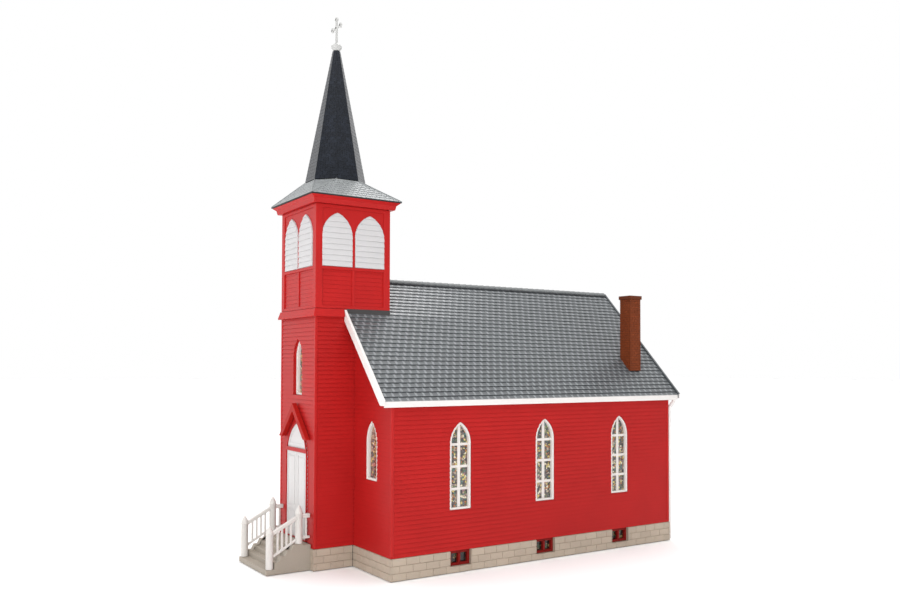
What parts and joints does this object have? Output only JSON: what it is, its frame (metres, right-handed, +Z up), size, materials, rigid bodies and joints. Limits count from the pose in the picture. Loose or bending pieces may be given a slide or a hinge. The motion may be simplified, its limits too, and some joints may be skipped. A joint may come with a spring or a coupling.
{
  "type": "scale model church",
  "caption": "Plastic scale model of a timber church: gabled nave, front tower with belfry and octagonal spire, entrance stairs.",
  "frame": {"origin": "ground under the middle of the model's box", "axes": "+Z up the spire, -Y out of the entrance, +X towards the side with the chimney"},
  "size_m": [0.0858, 0.1584, 0.1923],
  "materials": {
    "red_siding": "satin moulded red plastic with clapboards",
    "white_trim": "satin moulded white plastic",
    "window_frame": "white plastic frame with printed coloured panes behind",
    "basement_frame": "red plastic frame with dark panes",
    "plinth_stone": "matt beige plastic with block joints",
    "stair_concrete": "matt grey beige plastic",
    "roof_slate": "matt grey plastic with slate courses",
    "skirt_slate": "matt light grey plastic with slate courses",
    "spire_slate": "satin near black plastic with fine slates",
    "chimney_brick": "matt brown plastic with brick courses",
    "floor_grey": "plain grey plastic"
  },
  "bodies": {
    "root": {"foundation_front": "plinth_stone", "foundation_right": "plinth_stone", "foundation_left": "plinth_stone", "foundation_rear": "plinth_stone", "basement_windows_right": "basement_frame", "basement_windows_left": "basement_frame", "floor": "floor_grey", "nave_wall_right": "red_siding", "nave_wall_left": "red_siding", "nave_wall_rear": "red_siding", "nave_wall_front_right": "red_siding", "nave_wall_front_left": "red_siding", "nave_windows_right": "window_frame", "nave_windows_left": "window_frame", "nave_windows_rear": "window_frame", "nave_window_front_right": "window_frame", "nave_window_front_left": "window_frame", "tower_window": "window_frame", "tower_wall_front": "red_siding", "tower_wall_right": "red_siding", "tower_wall_left": "red_siding", "tower_wall_back": "red_siding", "tower_band": "red_siding", "belfry_wall_front": "red_siding", "belfry_wall_right": "red_siding", "belfry_wall_left": "red_siding", "belfry_wall_back": "red_siding", "louvers_front": "white_trim", "louvers_right": "white_trim", "louvers_left": "white_trim", "louvers_back": "white_trim", "belfry_cornice": "red_siding", "skirt_roof": "skirt_slate", "spire": "spire_slate", "finial": "white_trim", "entrance_doors": "white_trim", "door_frame": "red_siding", "entrance_hood": "red_siding", "stairs": "stair_concrete", "railing_right": "white_trim", "railing_left": "white_trim", "roof_right": "roof_slate", "roof_left": "roof_slate", "ridge_cap": "roof_slate", "bargeboard_front_right": "white_trim", "bargeboard_front_left": "white_trim", "bargeboard_rear_right": "white_trim", "bargeboard_rear_left": "white_trim", "gutter_right": "white_trim", "gutter_left": "white_trim", "chimney": "chimney_brick"}
  },
  "joints": []
}
